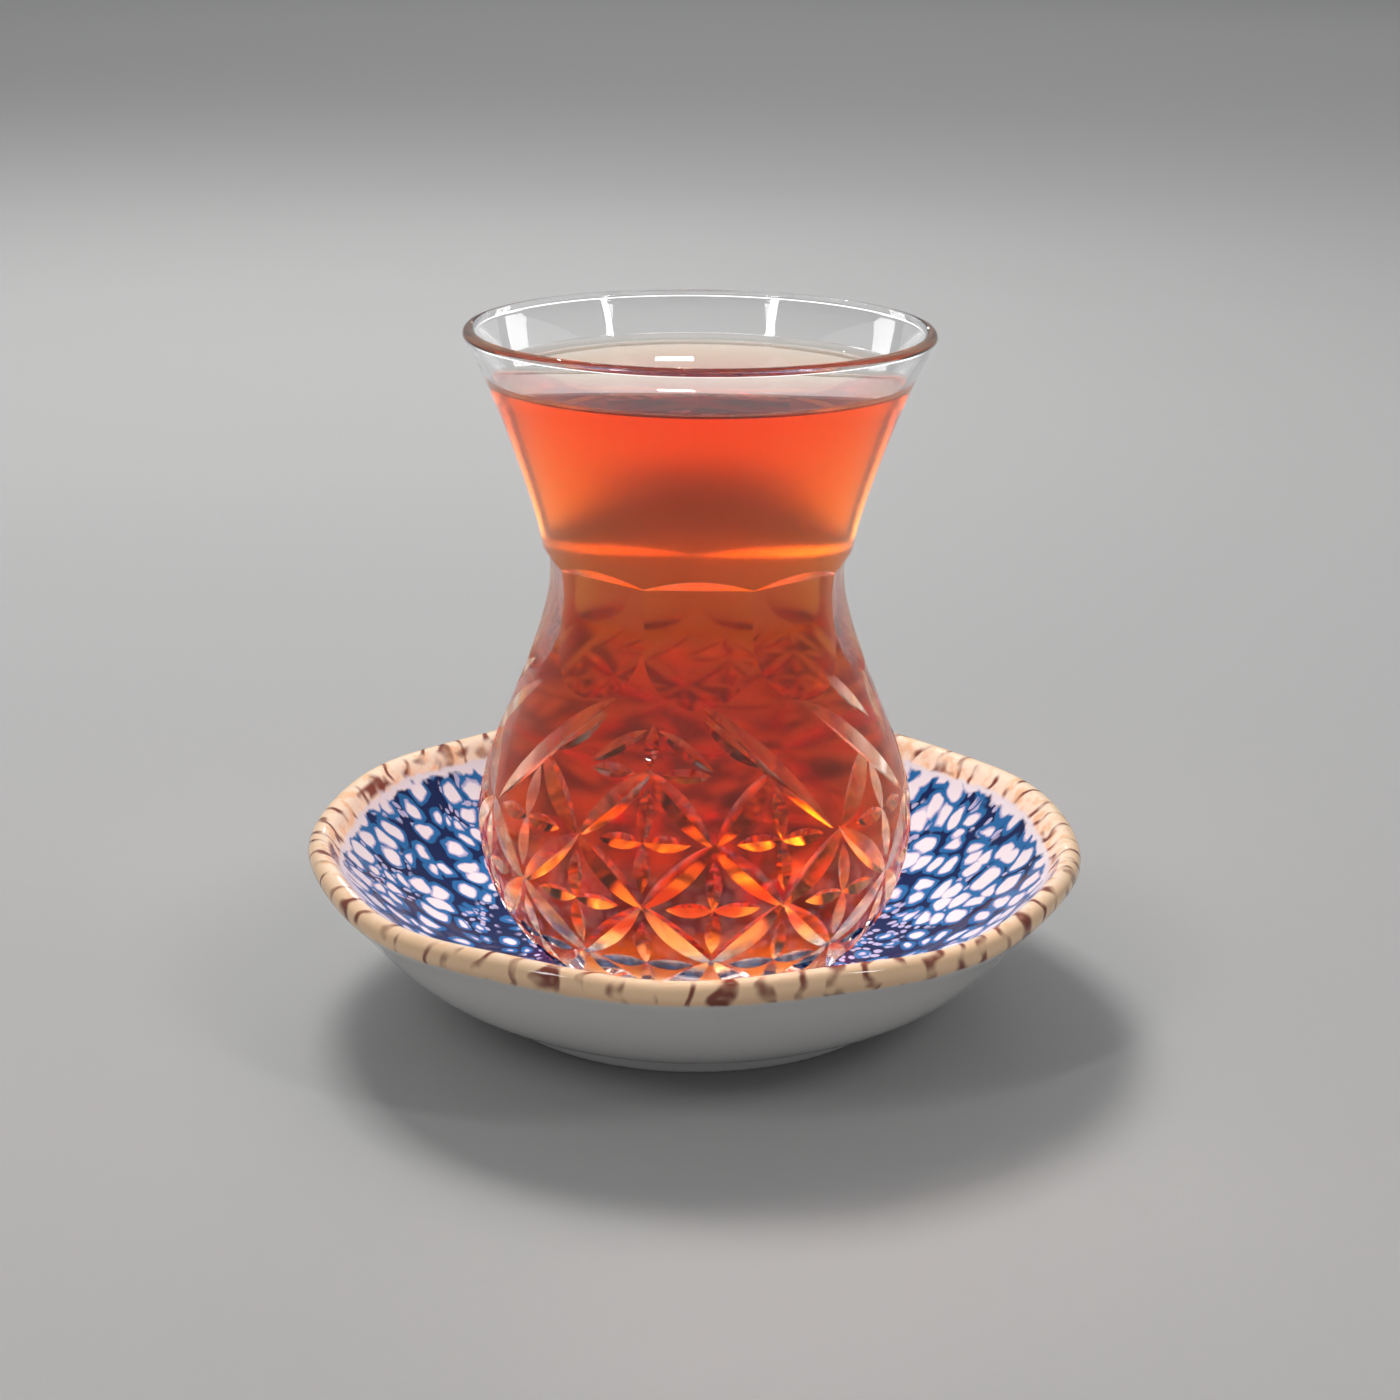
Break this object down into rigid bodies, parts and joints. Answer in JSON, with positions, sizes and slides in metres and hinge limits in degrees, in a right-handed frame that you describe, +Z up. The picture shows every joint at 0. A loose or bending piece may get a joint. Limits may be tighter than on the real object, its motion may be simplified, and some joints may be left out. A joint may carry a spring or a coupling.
{
  "type": "turkish tea glass",
  "caption": "Tulip-waisted cut glass filled with red tea, standing on a round saucer with a softly waved lip.",
  "frame": {"origin": "middle of the saucer's foot ring, on the surface it stands on", "axes": "+Z up along the glass's axis, -Y is the front of the cut pattern, where the clear window between the leaf sprays is"},
  "size_m": [0.11, 0.11, 0.0963],
  "materials": {
    "saucer_glaze": "gloss",
    "clear_glass": "polished",
    "brewed_tea": "clear liquid"
  },
  "bodies": {
    "root": {"saucer": "saucer_glaze", "tea_glass": "clear_glass", "tea": "brewed_tea"}
  },
  "joints": []
}
